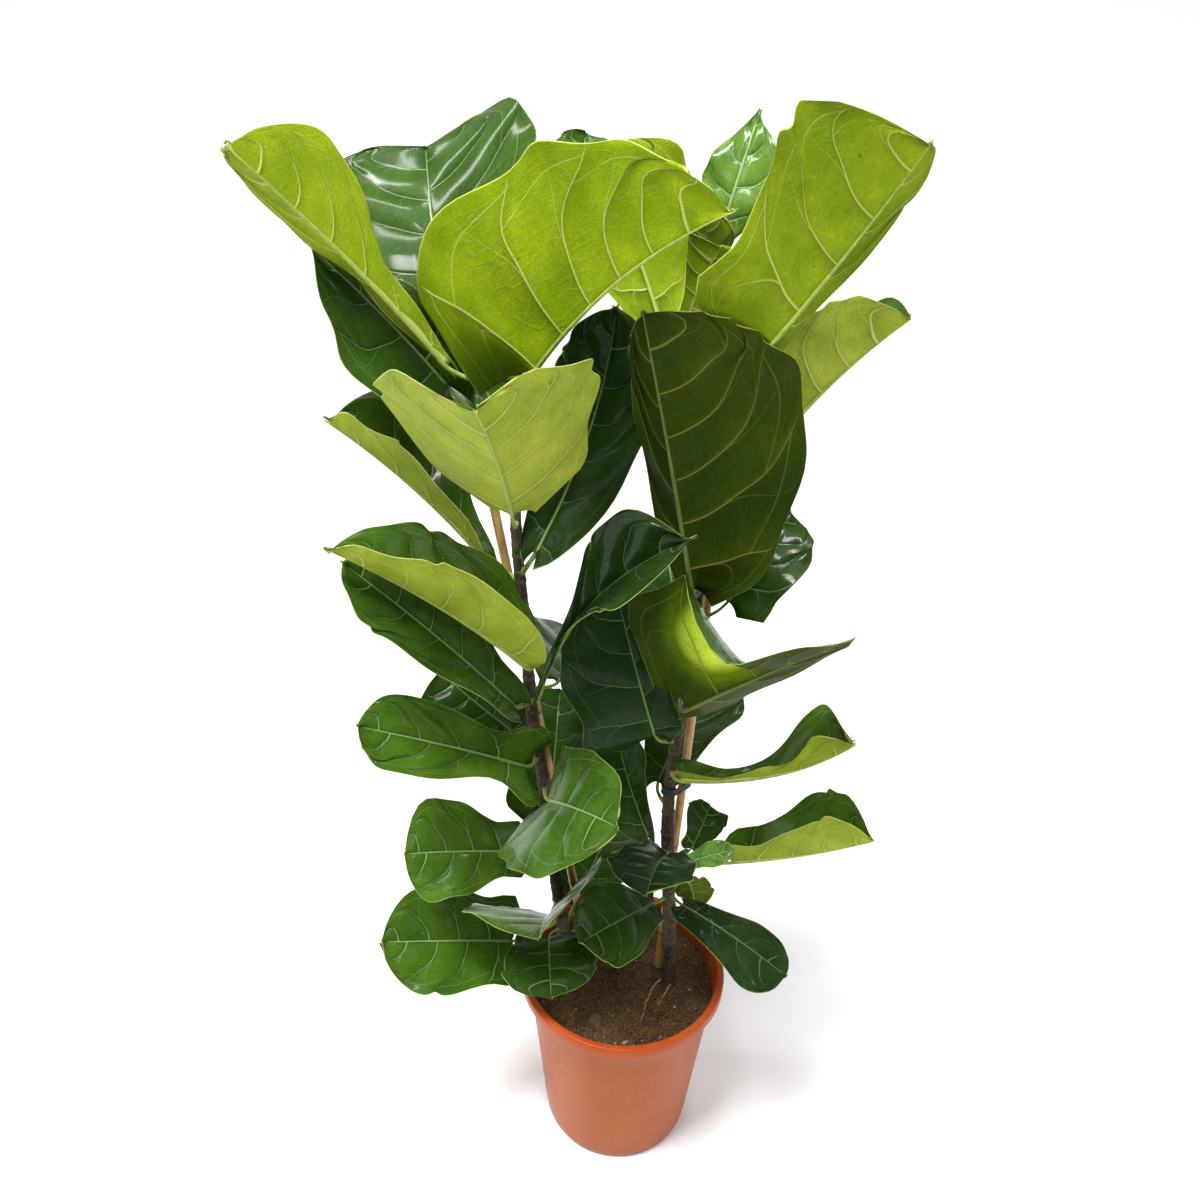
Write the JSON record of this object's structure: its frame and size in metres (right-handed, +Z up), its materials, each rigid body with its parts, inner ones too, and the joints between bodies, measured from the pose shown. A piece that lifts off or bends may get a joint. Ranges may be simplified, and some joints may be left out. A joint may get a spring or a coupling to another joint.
{
  "type": "potted fiddle leaf fig",
  "caption": "Potted fiddle leaf fig: slim dark woody stems tied to bamboo canes, with large leathery lyre-shaped leaves, standing in soil in a round terracotta-coloured plastic nursery pot.",
  "frame": {"origin": "centre of the pot's flat underside, on the surface that the pot stands on", "axes": "+Z up the plant, +X to the right and -Y towards the viewer as the plant is seen in its front view"},
  "size_m": [0.583, 0.3586, 1.154],
  "materials": {
    "pot_plastic": "satin moulded plastic, terracotta orange, with faint scuffs and soil dust",
    "potting_soil": "matt damp peat and bark potting mix with tan fibres and small chips",
    "bark": "rough dark brown bark with pale lenticels and leaf scars",
    "bamboo": "smooth golden bamboo with dark rings at its nodes",
    "bud_sheath": "papery brown-green sheath",
    "tie_strap": "matt black soft plastic strap",
    "root_skin": "dry pale tan root",
    "leaf": "leathery leaf, glossy dark green above and matt yellow-green below, with pale raised veins and a thin light margin"
  },
  "bodies": {
    "root": {"pot": "pot_plastic", "soil": "potting_soil", "stem_left": "bark", "stem_right": "bark", "cane_left": "bamboo", "cane_right": "bamboo", "growing_tip_left": "bud_sheath", "growing_tip_right": "bud_sheath", "tie_left_lower": "tie_strap", "tie_left_upper": "tie_strap", "tie_right_lower": "tie_strap", "tie_right_upper": "tie_strap", "root_long": "root_skin", "root_short": "root_skin", "leaf_left_01": "leaf", "leaf_left_02": "leaf", "leaf_left_03": "leaf", "leaf_left_04": "leaf", "leaf_left_05": "leaf", "leaf_left_06": "leaf", "leaf_left_07": "leaf", "leaf_left_08": "leaf", "leaf_left_09": "leaf", "leaf_left_10": "leaf", "leaf_left_11": "leaf", "leaf_left_12": "leaf", "leaf_left_13": "leaf", "leaf_left_14": "leaf", "leaf_left_15": "leaf", "leaf_left_16": "leaf", "leaf_left_17": "leaf", "leaf_left_18": "leaf", "leaf_left_19": "leaf", "leaf_left_20": "leaf", "leaf_left_21": "leaf", "leaf_left_22": "leaf", "leaf_right_01": "leaf", "leaf_right_02": "leaf", "leaf_right_03": "leaf", "leaf_right_04": "leaf", "leaf_right_05": "leaf", "leaf_right_06": "leaf", "leaf_right_07": "leaf", "leaf_right_08": "leaf", "leaf_right_09": "leaf", "leaf_right_10": "leaf", "leaf_right_11": "leaf", "leaf_right_12": "leaf", "leaf_right_13": "leaf", "leaf_right_14": "leaf", "leaf_right_15": "leaf", "leaf_right_16": "leaf", "leaf_right_17": "leaf", "leaf_right_18": "leaf", "leaf_right_19": "leaf", "leaf_right_20": "leaf", "leaf_right_21": "leaf", "leaf_right_22": "leaf"}
  },
  "joints": []
}
